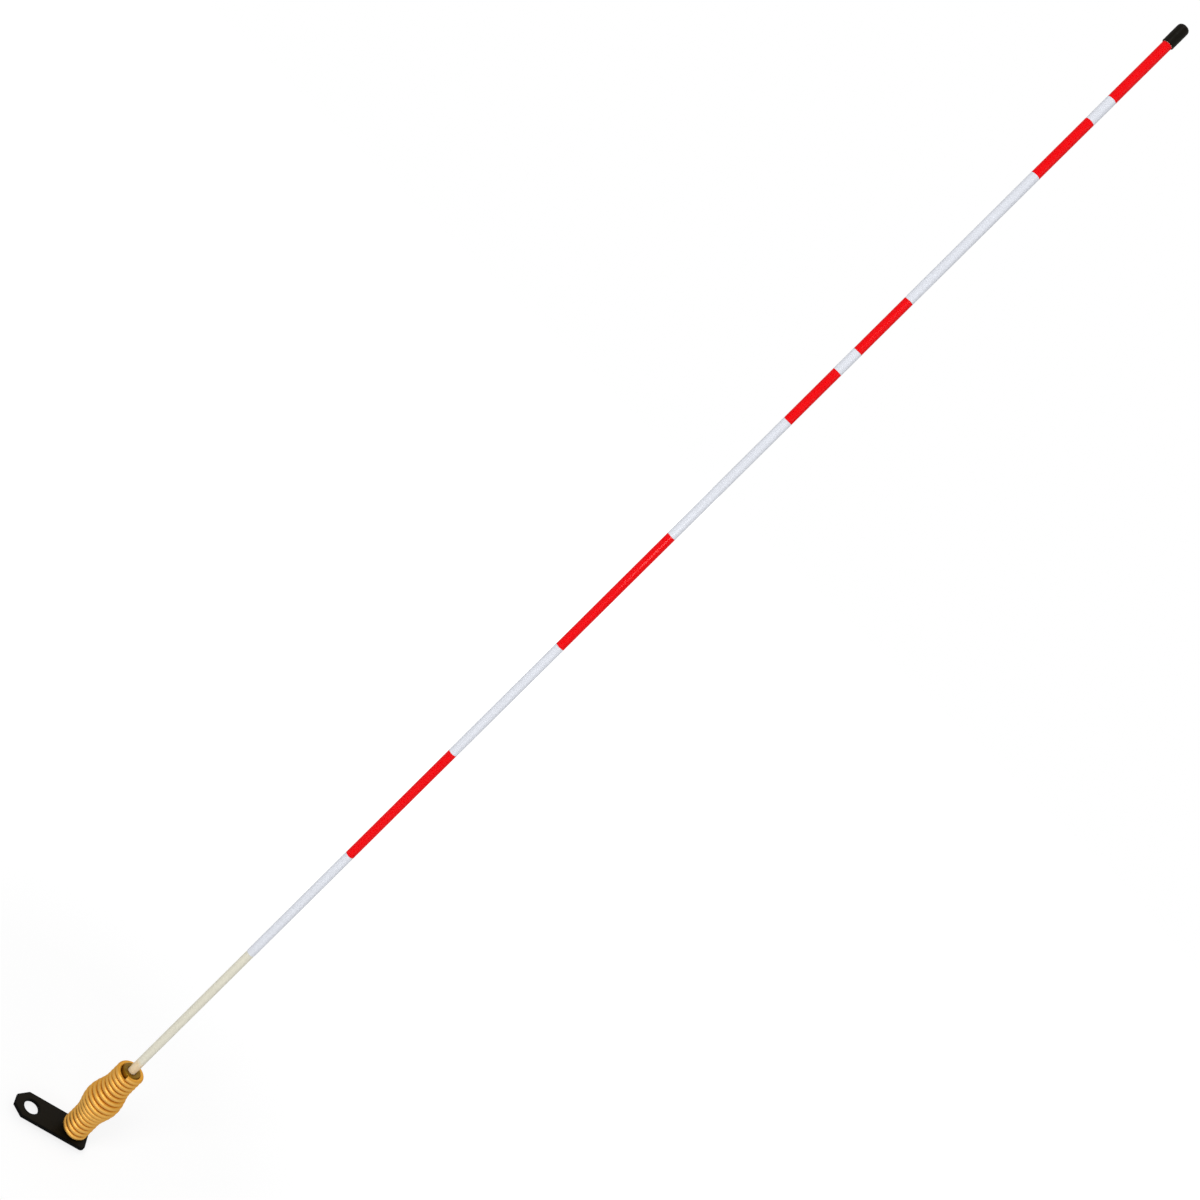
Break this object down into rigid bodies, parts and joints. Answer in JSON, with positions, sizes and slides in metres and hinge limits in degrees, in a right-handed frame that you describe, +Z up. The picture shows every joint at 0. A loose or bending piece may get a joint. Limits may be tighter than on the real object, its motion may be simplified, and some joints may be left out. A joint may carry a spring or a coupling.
{
  "type": "spring-mounted marker whip",
  "caption": "Striped fibreglass marker mast with a vinyl end cap, on a barrel coil spring over a flat bolt-on steel bracket.",
  "frame": {"origin": "centre of the bracket's bolt hole, on the bracket's underside", "axes": "+Z up along the mast, +X from the bolt hole to the mast, +Y across the bracket"},
  "size_m": [0.0905, 0.0399, 1.5406],
  "materials": {
    "bracket_black": "black powder coat, semi-matt",
    "fastener_zinc": "bright zinc plate",
    "inner_steel": "dulled yellow zinc-plated steel",
    "spring_yellow_zinc": "yellow zinc-plated spring wire",
    "rod_fibreglass": "cream pultruded fibreglass",
    "tape_white": "white reflective tape",
    "tape_red": "red reflective tape",
    "cap_vinyl": "black dipped vinyl"
  },
  "bodies": {
    "base": {"mounting_bracket": "bracket_black", "base_screw": "fastener_zinc", "lock_washer": "fastener_zinc", "lower_spring_plug": "inner_steel"},
    "spring": {"coil_spring": "spring_yellow_zinc"},
    "mast": {"rod_ferrule": "inner_steel", "ferrule_pin": "fastener_zinc", "fibreglass_rod": "rod_fibreglass", "tape_band_01_white": "tape_white", "tape_band_02_red": "tape_red", "tape_band_03_white": "tape_white", "tape_band_04_red": "tape_red", "tape_band_05_white": "tape_white", "tape_band_06_red": "tape_red", "tape_band_07_white": "tape_white", "tape_band_08_red": "tape_red", "tape_band_09_white": "tape_white", "tape_band_10_red": "tape_red", "tape_band_11_white": "tape_white", "tape_band_12_red": "tape_red", "end_cap": "cap_vinyl"}
  },
  "joints": [
    {"name": "spring_bend_sideways", "type": "hinge", "parent": "base", "child": "spring", "pos_m": [0.0508, 0, 0.03275], "axis": [1, 0, 0], "range_deg": [-60, 60], "stiffness_Nm_per_rad": 6, "deforming": ["coil_spring"]},
    {"name": "spring_bend_lengthways", "type": "hinge", "parent": "spring", "child": "mast", "pos_m": [0.0508, 0, 0.07125], "axis": [0, 1, 0], "range_deg": [-60, 60], "stiffness_Nm_per_rad": 6, "deforming": ["coil_spring"]}
  ]
}
